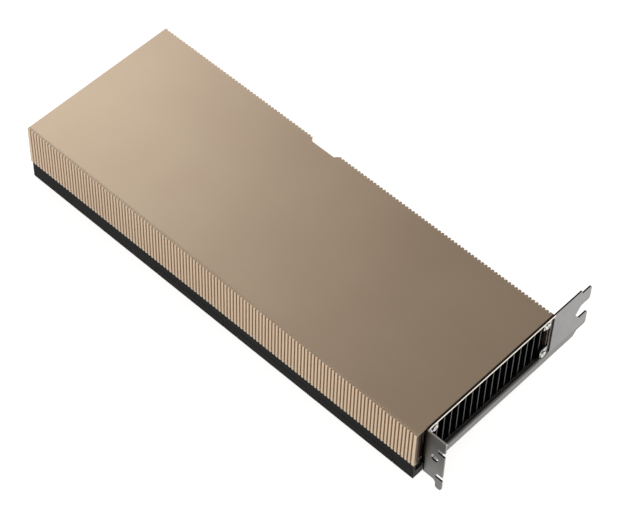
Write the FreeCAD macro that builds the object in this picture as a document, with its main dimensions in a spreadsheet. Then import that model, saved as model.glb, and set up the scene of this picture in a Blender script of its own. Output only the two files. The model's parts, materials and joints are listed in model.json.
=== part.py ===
import FreeCAD, Part
import math
import os
import re

import Sketcher
from FreeCAD import Vector

# A passive, dual-slot, full-height accelerator card that lies on its backplate.
# Every sub-part is drawn in the card's own datum:
#   X  0 at the outer face of the I/O bracket, the card runs towards -X
#   Y  0 at the outer face of the bracket's tab, the card edge connector is towards +Y
#   Z  0 at the underside of the backplate, the shroud is on top
# and is then placed so that the origin is the centre of the footprint, at its lowest point.

SIZES = {
    # overall
    "card_length": 267.7,        # bracket face to far end
    "bracket_height": 120.02,    # tab to the tips of the bracket's prongs
    "slot_pitch": 20.32,         # from one expansion slot to the next
    # ribbed shroud
    "shroud_width": 97.9,        # rib crest to rib crest
    "side_reach": 5.6,           # rib crests beyond the tab plane
    "shroud_top": 38.0,
    "shroud_sheet": 1.2,
    "shroud_wall": 2.6,          # rib crest to inner face
    "rib_count": 123,
    "rib_depth": 0.95,
    "groove_mouth": 1.0,
    "groove_floor": 0.4,
    "flange_setback": 1.0,       # end flange behind the shroud's front edge
    "flange_sheet": 1.4,
    "bead_place": 2.2,           # bead on the flange, beyond the tab plane
    "bead_radius": 0.55,
    "latch_start": 142.0,        # relief for the slot's latch, from the bracket face
    "latch_length": 19.0,
    "latch_depth": 2.5,
    "latch_slant": 1.8,
    "latch_web": 1.4,
    # base frame
    "frame_top": 12.3,
    "frame_setback": 0.6,        # from the shroud's front edge
    "frame_wall": 1.2,
    "end_wall": 1.5,
    "screw_boss": 5.0,           # square
    "near_boss": 0.0,            # row of screws beside the ribbed side
    "far_boss_inset": 2.3,       # row of screws beside the connector side, from the shroud's wall
    "boss_gap": 0.3,             # boss to heat sink
    "first_screw": 11.0,
    # steel frames behind the bracket and at the far end
    "frame_sheet": 0.8,
    "frame_gap": 0.3,            # frame to shroud
    "frame_foot": 4.5,
    "frame_left": 1.2,
    "frame_window_top": 36.6,
    "frame_rise": 0.9,           # front frame's sill over the bracket's window
    "frame_window_left": 3.2,
    "frame_reveal": 0.8,         # shroud wall seen inside the front frame
    "ear_size": 5.4,
    "ear_left": 6.2,
    "ear_low": 10.4,
    "ear_high": 33.6,
    "ear_boss": 3.6,
    "ear_boss_depth": 7.6,
    "rear_inset": 0.9,
    "rear_bar_left": 12.2,
    "rear_bar_right": 7.4,
    "support_low": 17.0,         # threaded holes for a support bracket
    "support_high": 27.0,
    "support_thread": 1.25,
    "support_depth": 2.0,
    # screws
    "screw_radius": 1.2,
    "screw_clearance": 0.05,
    "head_radius": 1.9,
    "head_height": 0.8,
    "sunk_head_radius": 2.2,
    # I/O bracket
    "bracket_sheet": 0.86,
    "plate_bottom": 2.7,
    "plate_top": 39.0,
    "plate_shoulder": 1.5,
    "bend_radius": 1.2,
    "window_left": 2.4,
    "window_rim": 0.5,           # from the rib crests on the connector side
    "window_bottom": 8.0,
    "window_top": 37.8,
    "window_corner": 2.2,
    "prong_width": 10.19,
    "prong_top": 36.3,
    "prong_root": 113.4,
    "prong_corner": 1.5,
    "plate_end": 110.6,
    "step_start": 112.0,
    "gap_floor": 109.8,
    "gap_corner": 1.2,
    "tab_depth": 11.43,
    "tab_top": 38.4,
    "tab_foot": 4.2,
    "tab_hole": 2.3,             # radius
    "tab_screw_reach": 5.6,
    "tab_screw_height": 0.9,
    "finger_inner": 7.6,
    "finger_drop": 1.3,
    "finger_corner": 1.7,
    "guide_depth": 4.0,
    "guide_width": 3.3,
    "guide_offset": 7.7,
    # bridge connectors on the ribbed side
    "cap_count": 3,
    "cap_first": 39.2,           # middle of the first cap, from the bracket face
    "cap_pitch": 56.5,
    "slot_length": 48.0,
    "slot_top": 5.4,
    "cap_gap": 0.3,
    "cap_face": 1.1,
    "cap_lip": 1.0,
    "cap_grip": 0.1,
    "bridge_pad_count": 14,
    "bridge_pad_pitch": 2.8,
    "bridge_pad_width": 1.6,
    "bridge_pad_start": 0.4,
    # backplate, film and circuit board
    "backplate_sheet": 1.2,
    "backplate_margin": 2.25,
    "backplate_corner": 3.0,
    "film_thickness": 0.2,
    "rear_clearance": 2.67,
    "board_thickness": 1.57,
    "board_side": 3.0,           # board edge beyond the tab plane, ribbed side
    "board_gap": 0.3,
    "board_margin": 5.9,         # board beyond the frame, connector side
    "connector_reach": 8.25,
    "contact_start": 46.35,      # card edge connector, from the bracket face
    "contact_short": 11.65,
    "contact_key": 1.9,
    "contact_long": 71.65,
    "key_depth": 7.65,
    "edge_chamfer": 0.5,
    "hook_gap": 2.85,            # contacts to retention hook
    "hook_width": 3.0,
    "hook_toe": 3.4,
    "hook_reach": 7.35,
    "hook_toe_width": 2.2,
    "pad_pitch": 1.0,
    "pad_width": 0.7,
    "pad_length": 4.4,
    "pad_margin": 0.8,
    "pad_thickness": 0.05,
    "short_pads": 11,
    "long_pads": 71,
    # heat sink
    "sink_face": 2.2,
    "sink_underside": 7.3,
    "sink_plate": 2.4,
    "fin_first": 0.1,
    "fin_count": 18,
    "fin_thickness": 0.6,
    "fin_gap": 0.3,              # fins to shroud
    "trim_gap": 0.3,
    "pedestal": 42.0,
    # processor package
    "package_middle": 118.0,
    "package_offset": 1.65,      # from the shroud's middle line
    "substrate_size": 52.0,
    "substrate_thickness": 1.2,
    "ring_width": 4.0,
    "ring_height": 0.8,
    "die_length": 30.0,
    "die_width": 26.0,
    "die_height": 0.8,
    "memory_length": 10.0,
    "memory_width": 7.6,
    "memory_gap": 0.6,
    # retention
    "post_reach": 33.0,
    "post_radius": 2.4,
    "post_neck": 1.6,
    "neck_clearance": 0.3,
    "spring_sheet": 1.0,
    "spring_arm": 9.0,
    "spring_tip": 36.0,
    "access_hole": 2.6,
    "small_screw": 1.0,
    "small_head": 1.9,
    "small_head_height": 1.1,
    # power parts under the heat sink
    "coil_size": 9.0,
    "coil_height": 2.7,
    "coil_count": 7,
    "coil_pitch": 11.0,
    "coil_offset": 2.0,          # coil rows from the package's row
    "stage_size": 5.0,
    "stage_height": 0.8,
    "stage_offset": 8.5,
    "capacitor_length": 7.3,
    "capacitor_width": 4.3,
    "capacitor_height": 2.0,
    "chip_size": 12.0,
    "chip_height": 1.0,
    # power connector at the far end
    "plug_start": 0.7,           # from the far end
    "plug_depth": 13.0,
    "plug_inset": 12.9,          # from the rib crests on the connector side
    "plug_height": 10.0,
    "plug_wall": 0.9,
    "socket_columns": 4,
    "socket_rows": 2,
    "socket_pitch": 4.2,
    "socket_size": 3.4,
    "socket_depth": 10.0,
    "pin_size": 1.1,
    "pin_length": 8.0,
    "latch_rib": 1.2,
}

# columns of power parts: coils by their distance from the bracket face, capacitors from the far end
COIL_COLUMNS = {"coil_left": 62.0, "coil_middle": 172.0, "coil_right": 190.0}
CAPACITOR_COLUMNS = {"capacitor_near": 22.0, "capacitor_far": 34.0}
CHIP_PLACES = {"chip_column": 34.0, "chip_near": 15.0, "chip_far": 17.0}
SIZES.update(COIL_COLUMNS)
SIZES.update(CAPACITOR_COLUMNS)
SIZES.update(CHIP_PLACES)

doc = FreeCAD.newDocument("accelerator_card")
sheet = doc.addObject("Spreadsheet::Sheet", "sizes")
for row, (alias, number) in enumerate(SIZES.items(), start=1):
    sheet.set(f"A{row}", str(number))
    sheet.setAlias(f"A{row}", alias)
doc.recompute()

parts = []

# derived places, as expressions of the sheet's sizes
shroud_start = "(bracket_sheet + frame_sheet)"
near_crest = "(-side_reach)"
far_crest = "(shroud_width - side_reach)"
near_valley = "(rib_depth - side_reach)"
far_valley = "(shroud_width - side_reach - rib_depth)"
near_inner = "(shroud_wall - side_reach)"
far_inner = "(shroud_width - side_reach - shroud_wall)"
rib_pitch = f"((card_length - {shroud_start}) / rib_count)"
ear_right = "(shroud_width - side_reach - shroud_wall - trim_gap - head_radius)"
ceiling = "(shroud_top - shroud_sheet)"
frame_near = "(rib_depth - side_reach + frame_wall)"
frame_far = "(shroud_width - side_reach - rib_depth - frame_wall)"
front_face = "(-bracket_sheet - frame_sheet)"
frame_front = "(-bracket_sheet - frame_sheet - frame_setback)"
front_back = "(-bracket_sheet - frame_sheet - frame_setback - end_wall)"
rear_face = "(rear_inset + frame_sheet - card_length)"
rear_back = "(rear_inset + frame_sheet + end_wall - card_length)"
board_bottom = "rear_clearance"
board_top = "(rear_clearance + board_thickness)"
board_front = f"({front_back} - board_gap)"
board_shoulder = "(shroud_width - side_reach - rib_depth + board_margin)"
board_height = "(shroud_width - side_reach - rib_depth + board_margin + connector_reach)"
board_rear = "(rear_inset + frame_sheet + end_wall + board_gap - card_length)"
boss_top = "(sink_underside - boss_gap)"
sink_top = "(sink_underside + sink_plate)"
sink_near = "(fin_first - fin_thickness / 2)"
sink_far = f"({ear_right} - ear_boss / 2 - trim_gap)"
fin_pitch = f"(({sink_far} - {sink_near} - fin_thickness) / (fin_count - 1))"
sink_front = "(-sink_face)"
sink_rear = f"({rear_face} + trim_gap)"
substrate_top = f"({board_top} + substrate_thickness)"
die_top = f"({board_top} + substrate_thickness + die_height)"
spring_top = "(rear_clearance - film_thickness)"
plug_end = "(plug_start - card_length)"
plug_back = "(plug_start + plug_depth - card_length)"
plug_width = "(socket_columns * socket_pitch + 2 * plug_wall)"
plug_top = f"({board_top} + plug_height)"
pad_base = f"({board_height} - pad_margin - pad_length)"
far_boss = "(shroud_width - side_reach - shroud_wall - far_boss_inset)"
plug_row = f"({far_crest} - plug_inset - {plug_width})"
connector_end = "(-contact_start - contact_short - contact_key - contact_long)"
package_row = "((shroud_width - 2 * side_reach) / 2 + package_offset)"
coil_row = f"({package_row} - coil_offset - (coil_count - 1) * coil_pitch / 2)"
screw_places = [(along, row) for row in ("near_boss", far_boss)
                for along in ("(-first_screw)", "(-cap_first - 3 * cap_pitch / 2)", "(first_screw - card_length)")]
ears = [(side, level) for side in ("ear_left", ear_right) for level in ("ear_low", "ear_high")]
supports = [(side, level) for side in ("ear_left", ear_right) for level in ("support_low", "support_high")]
posts = [(f"(-package_middle {a} post_reach)", f"({package_row} {b} post_reach)")
         for a in "+-" for b in "+-"]


def ref(expression):
    """Point every size named in the expression at its cell."""
    return re.sub(r"[a-z][a-z_]*", lambda found: f"sizes.{found.group()}", expression)


def value(expression):
    return float(sheet.evalExpression(expression))


def bind(item, name, expression):
    item.setExpression(name, ref(expression))


def place(item):
    """Move the card's datum to the centre of the footprint, at the lowest point."""
    bind(item, "Placement.Base.x", "(card_length - tab_depth) / 2")
    bind(item, "Placement.Base.y", "(side_reach - bracket_height) / 2")
    bind(item, "Placement.Base.z", "finger_drop")
    parts.append(item)


def new_body(label, several=False):
    body = doc.addObject("PartDesign::Body", label)
    body.Label = label
    body.AllowCompound = several
    place(body)
    return body


def new_sketch(body, name, normal, start):
    """Sketch on the plane at start along the axis that normal names."""
    role = {"X": "YZ_Plane", "Y": "XZ_Plane", "Z": "XY_Plane"}[normal]
    sketch = body.newObject("Sketcher::SketchObject", name)
    plane = next(item for item in body.Origin.OriginFeatures if item.Role == role)
    sketch.AttachmentSupport = (plane, [""])
    sketch.MapMode = "FlatFace"
    sign = "-1" if normal == "Y" else "1"
    bind(sketch, "AttachmentOffset.Base.z", f"{sign} * ({start})")
    return sketch


def rectangle(left, right, low, high):
    return [(left, low), (right, low), (right, high), (left, high)]


def square(across, up, size):
    return rectangle(f"{across} - {size} / 2", f"{across} + {size} / 2",
                     f"{up} - {size} / 2", f"{up} + {size} / 2")


def draw_outline(sketch, points):
    """Closed outline; a run along an axis is held level or upright, every other point by its place."""
    corners = [Vector(value(across), value(up), 0) for across, up in points]
    first = sketch.GeometryCount
    count = len(corners)
    lines = [Part.LineSegment(corners[i], corners[(i + 1) % count]) for i in range(count)]
    sketch.addGeometry(lines, False)
    for i in range(count):
        sketch.addConstraint(Sketcher.Constraint("Coincident", first + i, 2, first + (i + 1) % count, 1))
    for i, (across, up) in enumerate(points):
        for kind, level, here, before in (("DistanceX", "Vertical", across, points[i - 1][0]),
                                          ("DistanceY", "Horizontal", up, points[i - 1][1])):
            if i and here == before:
                sketch.addConstraint(Sketcher.Constraint(level, first + i - 1))
            else:
                size = value(here)
                index = sketch.addConstraint(Sketcher.Constraint(kind, -1, 1, first + i, 1, size))
                bind(sketch, f"Constraints[{index}]", here)


def draw_circle(sketch, across, up, radius):
    centre = Vector(value(across), value(up), 0)
    index = sketch.addGeometry(Part.Circle(centre, Vector(0, 0, 1), value(radius)), False)
    for kind, size in (("DistanceX", across), ("DistanceY", up)):
        number = sketch.addConstraint(Sketcher.Constraint(kind, -1, 1, index, 3, value(size)))
        bind(sketch, f"Constraints[{number}]", size)
    number = sketch.addConstraint(Sketcher.Constraint("Radius", index, value(radius)))
    bind(sketch, f"Constraints[{number}]", radius)


def draw(body, name, normal, start, shapes):
    sketch = new_sketch(body, f"{name}_sketch", normal, start)
    for shape in shapes:
        if isinstance(shape, tuple):
            draw_circle(sketch, *shape)
        else:
            draw_outline(sketch, shape)
    return sketch


def grow(body, name, normal, start, end, shapes):
    """Pad the shapes from start up to end along the normal's axis."""
    pad = body.newObject("PartDesign::Pad", name)
    pad.Profile = draw(body, name, normal, start, shapes)
    bind(pad, "Length", f"({end}) - ({start})")
    pad.Reversed = normal == "Y"
    doc.recompute()
    return pad


def carve(body, name, normal, start, end, shapes):
    """Pocket the shapes from start up to end along the normal's axis."""
    before = body.Shape.Volume
    pocket = body.newObject("PartDesign::Pocket", name)
    pocket.Profile = draw(body, name, normal, start, shapes)
    bind(pocket, "Length", f"({end}) - ({start})")
    pocket.Reversed = normal != "Y"
    doc.recompute()
    if body.Shape.Volume >= before:
        raise RuntimeError(f"{body.Label}: {name} cuts nothing")
    return pocket


def repeat(body, name, feature, direction, step, count, backwards=False):
    """Linear pattern of a feature along its own sketch's H_Axis or V_Axis."""
    pattern = body.newObject("PartDesign::LinearPattern", name)
    pattern.Originals = [feature]
    pattern.Direction = (feature.Profile[0], [direction])
    pattern.Reversed = backwards
    bind(pattern, "Length", f"({step}) * ({count} - 1)")
    bind(pattern, "Occurrences", count)
    body.Tip = pattern
    doc.recompute()
    return pattern


def edges_along(shape, axis, places):
    """Names of the straight edges along the axis that pass through the places on the other two."""
    others = [name for name in "xyz" if name != axis]
    found = []
    for number, edge in enumerate(shape.Edges, start=1):
        ends = [vertex.Point for vertex in edge.Vertexes]
        if len(ends) < 2 or abs((ends[1] - ends[0]).normalize().dot(edge.tangentAt(edge.FirstParameter))) < 0.99:
            continue
        for place_at in places:
            goal = [value(expression) for expression in place_at]
            if all(abs(getattr(end, name) - size) < 0.01 for end in ends for name, size in zip(others, goal)):
                found.append(f"Edge{number}")
    return found


def round_edges(body, name, axis, places, radius):
    """Fillet the edges along the axis at the given places."""
    base = body.Tip
    edges = edges_along(base.Shape, axis, places)
    if len(edges) < len(places):
        raise RuntimeError(f"{body.Label}: {name} finds {len(edges)} edges of {len(places)}")
    fillet = body.newObject("PartDesign::Fillet", name)
    fillet.Base = (base, edges)
    bind(fillet, "Radius", radius)
    doc.recompute()
    return fillet


def bevel_edges(body, name, edges, size):
    base = body.Tip
    bevel = body.newObject("PartDesign::Chamfer", name)
    bevel.Base = (base, edges)
    bind(bevel, "Size", size)
    doc.recompute()
    return bevel


def add_group(label, solids):
    """Loose identical pieces, kept as separate solids of one sub-part."""
    item = doc.addObject("Part::Feature", label)
    item.Label = label
    item.Shape = Part.makeCompound(solids)
    place(item)
    return item


def turned(profile, base, axis):
    """Solid of revolution: profile is (radius, distance along the axis) from base."""
    wire = Part.makePolygon([Vector(radius, 0, along) for radius, along in profile + profile[:1]])
    solid = Part.Face(wire).revolve(Vector(0, 0, 0), Vector(0, 0, 1), 360)
    solid.Placement = FreeCAD.Placement(base, FreeCAD.Rotation(Vector(0, 0, 1), axis))
    return solid


def block(x_low, x_high, y_low, y_high, z_low, z_high):
    low = Vector(value(x_low), value(y_low), value(z_low))
    high = Vector(value(x_high), value(y_high), value(z_high))
    size = high - low
    return Part.makeBox(size.x, size.y, size.z, low)


def corner_bosses(body, name, low, high, level, foot, head):
    """Blocks behind the ears of a steel frame, at one level, and their thread holes."""
    sides = [rectangle(f"{side} - ear_boss / 2", edge, foot, head)
             for side, edge in (("ear_left", "ear_left + ear_boss / 2"), (ear_right, frame_far))]
    grow(body, f"{name}_bosses", "X", low, high, sides)
    carve(body, f"{name}_threads", "X", low, high,
          [(side, level, "screw_radius + screw_clearance") for side in ("ear_left", ear_right)])


def latch_relief(body, foot, head, top, inner):
    """Step the far wall inwards round the relief for the slot's latch."""
    end = "-latch_start - latch_length"
    floor = f"{far_crest} - latch_depth"
    web = f"{floor} - latch_web"
    step = [(f"{end} - latch_web", inner), (f"{end} + latch_slant", web), ("-latch_start - latch_slant", web),
            ("-latch_start + latch_web", inner)]
    grow(body, "latch_wall", "Z", foot, head, [step])
    relief = [(end, far_crest), (f"{end} + latch_slant", floor), ("-latch_start - latch_slant", floor),
              ("-latch_start", far_crest)]
    carve(body, "latch_relief", "Z", foot, top, [relief])


def make_shroud():
    """Ribbed aluminium channel, open at both ends and below."""
    body = new_body("shroud")
    profile = [(near_crest, "frame_top"), (near_inner, "frame_top"), (near_inner, ceiling), (far_inner, ceiling),
               (far_inner, "frame_top"), (far_crest, "frame_top"), (far_crest, "shroud_top"),
               (near_crest, "shroud_top")]
    grow(body, "channel", "X", "-card_length", f"-{shroud_start}", [profile])
    latch_relief(body, "frame_top", ceiling, "shroud_top", far_inner)
    foot = "ear_high - ear_boss / 2"
    corner_bosses(body, "front", f"{front_face} - ear_boss_depth", front_face, "ear_high", foot, ceiling)
    corner_bosses(body, "rear", rear_face, f"{rear_face} + ear_boss_depth", "ear_high", foot, ceiling)
    # end flange that closes the corner beside the bracket's tab, with its bead
    flange = f"(-{shroud_start} - flange_setback)"
    grow(body, "end_flange", "X", f"{flange} - flange_sheet", flange,
         [rectangle(near_inner, "frame_left", "frame_top", ceiling)])
    grow(body, "bead", "Z", "frame_top", ceiling, [(flange, "-bead_place", "bead_radius")])
    middle = f"(-{shroud_start} - {rib_pitch})"
    grooves = [[(f"{middle} - groove_mouth / 2", crest), (f"{middle} - groove_floor / 2", valley),
                (f"{middle} + groove_floor / 2", valley), (f"{middle} + groove_mouth / 2", crest)]
               for crest, valley in ((near_crest, near_valley), (far_crest, far_valley))]
    groove = carve(body, "groove", "Z", "frame_top", "shroud_top", grooves)
    repeat(body, "ribs", groove, "H_Axis", rib_pitch, "rib_count - 1", backwards=True)


def make_io_bracket():
    """Dual-slot steel bracket: plate with vent window, two prongs and the bent tab."""
    body = new_body("io_bracket")
    low_prong = "(prong_top - slot_pitch)"
    outline = [
        ("0", "tab_foot"), ("bend_radius", "tab_foot"), ("bend_radius + plate_shoulder", "plate_bottom"),
        ("plate_end", "plate_bottom"),
        ("prong_root", f"{low_prong} - prong_width"), ("bracket_height", f"{low_prong} - prong_width"),
        ("bracket_height", low_prong), ("prong_root", low_prong),
        ("gap_floor", f"({low_prong} + prong_top - prong_width) / 2"),
        ("prong_root", "prong_top - prong_width"), ("bracket_height", "prong_top - prong_width"),
        ("bracket_height", "prong_top"), ("step_start + plate_shoulder / 2", "prong_top"),
        ("step_start", "plate_top"), ("bend_radius + plate_shoulder", "plate_top"), ("bend_radius", "tab_top"),
        ("0", "tab_top"),
    ]
    grow(body, "plate", "X", "-bracket_sheet", "0", [outline])
    corners = [("bracket_height", level) for level in
               ("prong_top", "prong_top - prong_width", low_prong, f"{low_prong} - prong_width")]
    round_edges(body, "prong_corners", "x", corners, "prong_corner")
    gap = [("gap_floor", f"({low_prong} + prong_top - prong_width) / 2"), ("prong_root", low_prong),
           ("prong_root", "prong_top - prong_width"), ("prong_root", f"{low_prong} - prong_width"),
           ("plate_end", "plate_bottom")]
    round_edges(body, "gap_corners", "x", gap, "gap_corner")
    window = rectangle("window_left", f"{far_crest} - window_rim", "window_bottom", "window_top")
    carve(body, "window", "X", "-bracket_sheet", "0", [window])
    round_edges(body, "window_corners", "x", window, "window_corner")
    guides = [f"(tab_screw_height + guide_offset + {level})" for level in ("0", "slot_pitch")]
    tab = [("-bracket_sheet", "tab_foot"), ("finger_inner", "tab_foot"), ("finger_inner", "-finger_drop"),
           ("tab_depth", "-finger_drop")]
    for guide in guides:
        low, high, floor = f"{guide} - guide_width / 2", f"{guide} + guide_width / 2", "tab_depth - guide_depth"
        tab += [("tab_depth", low), (floor, low), (floor, high), ("tab_depth", high)]
    tab += [("tab_depth", "tab_top"), ("-bracket_sheet", "tab_top")]
    grow(body, "tab", "Y", "0", "bracket_sheet", [tab])
    carve(body, "tab_hole", "Y", "0", "bracket_sheet",
          [("tab_screw_reach", "tab_screw_height + slot_pitch", "tab_hole")])
    round_edges(body, "finger_tip", "y", [("finger_inner", "-finger_drop"), ("tab_depth", "-finger_drop")],
                "finger_corner")
    round_edges(body, "screw_slot", "y", [("finger_inner", "tab_foot")], "tab_hole")
    round_edges(body, "inner_bend", "z", [("0", "bracket_sheet")], "bend_radius - bracket_sheet")
    round_edges(body, "outer_bend", "z", [("-bracket_sheet", "0")], "bend_radius")


def make_front_frame():
    """Steel frame behind the bracket's window, with an ear for a screw in each corner."""
    body = new_body("front_frame")
    grow(body, "sheet", "X", front_face, "-bracket_sheet",
         [rectangle("frame_left", far_crest, "frame_foot", "shroud_top")])
    left, right = "frame_window_left", f"({far_inner} + frame_reveal)"
    low, high = "(window_bottom + frame_rise)", "frame_window_top"
    window = [(f"{left} + ear_size", low), (f"{right} - ear_size", low),
              (f"{right} - ear_size", f"{low} + ear_size"), (right, f"{low} + ear_size"),
              (right, f"{high} - ear_size"), (f"{right} - ear_size", f"{high} - ear_size"),
              (f"{right} - ear_size", high), (f"{left} + ear_size", high),
              (f"{left} + ear_size", f"{high} - ear_size"), (left, f"{high} - ear_size"),
              (left, f"{low} + ear_size"), (f"{left} + ear_size", f"{low} + ear_size")]
    carve(body, "window", "X", front_face, "-bracket_sheet", [window])
    ear_corners = [(f"{side} {sign} ear_size", f"{level} {turn} ear_size")
                   for side, sign in ((left, "+"), (right, "-")) for level, turn in ((low, "+"), (high, "-"))]
    round_edges(body, "ear_corners", "x", ear_corners, "gap_corner")
    carve(body, "ear_holes", "X", front_face, "-bracket_sheet",
          [(side, level, "screw_radius + 2 * screw_clearance") for side, level in ears])


def make_rear_frame():
    """Steel frame in the far end: corner screws, threaded support pads and a gap for the power connector."""
    body = new_body("rear_frame")
    outside = "(rear_inset - card_length)"
    outer = rectangle(f"{near_inner} + frame_gap", f"{far_inner} - frame_gap", "frame_foot", f"{ceiling} - frame_gap")
    grow(body, "sheet", "X", outside, rear_face, [outer])
    window = rectangle(f"{near_inner} + frame_gap + rear_bar_left", f"{far_inner} - frame_gap - rear_bar_right",
                       "window_bottom", f"{ceiling} - frame_gap - rear_inset")
    carve(body, "window", "X", outside, rear_face, [window])
    round_edges(body, "window_corners", "x", window, "window_corner")
    carve(body, "plug_gap", "X", outside, rear_face,
          [rectangle(f"{plug_row} - trim_gap", f"{plug_row} + {plug_width} + trim_gap", "frame_foot",
                     "window_bottom + frame_rise")])
    carve(body, "ear_holes", "X", outside, rear_face,
          [(side, level, "screw_radius + 2 * screw_clearance") for side, level in ears])
    grow(body, "support_pads", "X", rear_face, f"{rear_face} + support_depth",
         [square(side, level, "ear_boss") for side, level in supports])
    carve(body, "support_threads", "X", outside, f"{rear_face} + support_depth",
          [(side, level, "support_thread") for side, level in supports])


def make_base_frame():
    """Black cast frame round the board: skirt on the ribbed side, end walls, screw bosses."""
    body = new_body("base_frame")
    whole = rectangle("-card_length", frame_front, near_valley, far_valley)
    grow(body, "ring", "Z", "0", "frame_top", [whole])
    carve(body, "opening", "Z", "0", "frame_top", [rectangle(rear_back, front_back, frame_near, frame_far)])
    carve(body, "board_passage", "Z", "0", board_top, [rectangle(rear_back, front_back, frame_far, far_valley)])
    carve(body, "rear_seat", "Z", board_top, "frame_top",
          [rectangle("-card_length", rear_face, frame_near, frame_far)])
    carve(body, "air_sills", "Z", "sink_underside", "frame_top",
          [rectangle(front_back, frame_front, "frame_left", frame_far),
           rectangle(rear_face, rear_back, frame_near, frame_far)])
    carve(body, "plug_opening", "Z", board_top, "sink_underside",
          [rectangle(rear_face, rear_back, f"{plug_row} - trim_gap", f"{plug_row} + {plug_width} + trim_gap")])
    carve(body, "front_recess", "X", f"{frame_front} - flange_setback", frame_front,
          [rectangle(frame_near, "frame_left", "slot_top", "frame_top")])
    latch_relief(body, board_top, "frame_top", "frame_top", frame_far)
    slot = carve(body, "bridge_slot", "Y", near_valley, frame_near,
                 [rectangle("-cap_first - slot_length / 2", "-cap_first + slot_length / 2", "0", "slot_top")])
    repeat(body, "bridge_slots", slot, "H_Axis", "cap_pitch", "cap_count", backwards=True)
    rows = {"near_boss": (frame_near, "near_boss + screw_boss / 2"),
            far_boss: (f"{far_boss} - screw_boss / 2", frame_far)}
    bosses = [rectangle(f"{along} - screw_boss / 2", f"{along} + screw_boss / 2", *rows[row])
              for along, row in screw_places]
    grow(body, "bosses", "Z", board_top, boss_top, bosses)
    carve(body, "boss_threads", "Z", board_top, boss_top,
          [(*spot, "screw_radius + screw_clearance") for spot in screw_places])
    corner_bosses(body, "front", f"{front_face} - ear_boss_depth", front_face, "ear_low", board_top, "frame_top")
    corner_bosses(body, "rear", rear_face, f"{rear_face} + ear_boss_depth", "ear_low", board_top, "frame_top")


def make_backplate():
    """Black aluminium plate under the board, countersunk and stood off at every screw."""
    body = new_body("backplate")
    plate = rectangle(board_rear, board_front, "-board_side", f"{board_shoulder} - backplate_margin")
    grow(body, "plate", "Z", "0", "backplate_sheet", [plate])
    round_edges(body, "plate_corners", "z", plate, "backplate_corner")
    grow(body, "standoffs", "Z", "backplate_sheet", board_bottom,
         [square(*spot, "screw_boss") for spot in screw_places])
    carve(body, "screw_holes", "Z", "0", board_bottom,
          [(*spot, "screw_radius + screw_clearance") for spot in screw_places])
    rims = [f"Edge{number}" for number, edge in enumerate(body.Tip.Shape.Edges, start=1)
            if edge.Curve.TypeId == "Part::GeomCircle" and abs(edge.Curve.Center.z) < 0.001
            and edge.Curve.Radius < value("sunk_head_radius")]
    bevel_edges(body, "countersinks", rims, "sunk_head_radius - screw_radius")
    carve(body, "access_holes", "Z", "0", "backplate_sheet", [(*spot, "access_hole") for spot in posts])


def make_insulating_film():
    """Thin film on the backplate, cut away at the standoffs and the heat sink's screws."""
    body = new_body("insulating_film")
    top = "backplate_sheet + film_thickness"
    film = rectangle(f"{board_rear} + board_gap", f"{board_front} - board_gap", "board_gap - board_side",
                     f"{board_shoulder} - backplate_margin - board_gap")
    grow(body, "film", "Z", "backplate_sheet", top, [film])
    cuts = [square(*spot, "(screw_boss + 2 * trim_gap)") for spot in screw_places]
    cuts += [square(*spot, "(2 * access_hole + trim_gap)") for spot in posts]
    carve(body, "cuts", "Z", "backplate_sheet", top, cuts)


def make_circuit_board():
    """Board with the card edge connector, its key and the retention hook."""
    body = new_body("circuit_board")
    key = "(-contact_start - contact_short)"
    root = f"({connector_end} - hook_gap)"
    neck = f"({root} - hook_width)"
    tip, throat = f"{board_shoulder} + hook_reach", f"{board_shoulder} + hook_reach - hook_toe_width"
    outline = [
        (board_front, "-board_side"), (board_front, board_shoulder), ("-contact_start", board_shoulder),
        ("-contact_start", board_height), (key, board_height), (key, f"{board_height} - key_depth"),
        (f"{key} - contact_key", f"{board_height} - key_depth"), (f"{key} - contact_key", board_height),
        (connector_end, board_height), (connector_end, board_shoulder), (root, board_shoulder), (root, tip),
        (f"{neck} - hook_toe", tip), (f"{neck} - hook_toe", throat), (neck, throat), (neck, board_shoulder),
        (board_rear, board_shoulder), (board_rear, "-board_side"),
    ]
    grow(body, "laminate", "Z", board_bottom, board_top, [outline])
    edges = edges_along(body.Tip.Shape, "x", [(board_height, board_bottom), (board_height, board_top)])
    bevel_edges(body, "connector_bevel", edges, "edge_chamfer")
    holes = [(*spot, "screw_radius + neck_clearance") for spot in screw_places]
    holes += [(*spot, "post_neck + neck_clearance") for spot in posts]
    carve(body, "holes", "Z", board_bottom, board_top, holes)


def make_edge_contacts(label, low):
    """One face's gold contacts, in the short and the long row beside the key."""
    body = new_body(label, several=True)
    rows = (("short", "contact_start", "contact_short", "short_pads"),
            ("long", "(contact_start + contact_short + contact_key)", "contact_long", "long_pads"))
    for name, start, length, count in rows:
        first = f"(-{start} - ({length} - ({count} - 1) * pad_pitch) / 2)"
        pad = grow(body, f"{name}_pad", "Z", low, f"{low} + pad_thickness",
                   [rectangle(f"{first} - pad_width / 2", f"{first} + pad_width / 2", pad_base,
                              f"{pad_base} + pad_length")])
        repeat(body, f"{name}_row", pad, "H_Axis", "pad_pitch", count, backwards=True)


def make_bridge_contacts():
    """Contacts of the bridge connectors on both faces of the board's ribbed-side edge."""
    solids = []
    inset = "(-board_side + bridge_pad_start)"
    inner = "cap_lip - bridge_pad_start"
    for cap in range(int(value("cap_count"))):
        middle = f"-cap_first - {cap} * cap_pitch"
        for pad in range(int(value("bridge_pad_count"))):
            along = f"({middle} + ({pad} - (bridge_pad_count - 1) / 2) * bridge_pad_pitch)"
            span = (f"{along} - bridge_pad_width / 2", f"{along} + bridge_pad_width / 2", inset, inner)
            solids.append(block(*span, board_top, f"{board_top} + pad_thickness"))
            solids.append(block(*span, f"{board_bottom} - pad_thickness", board_bottom))
    add_group("bridge_contacts", solids)


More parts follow.
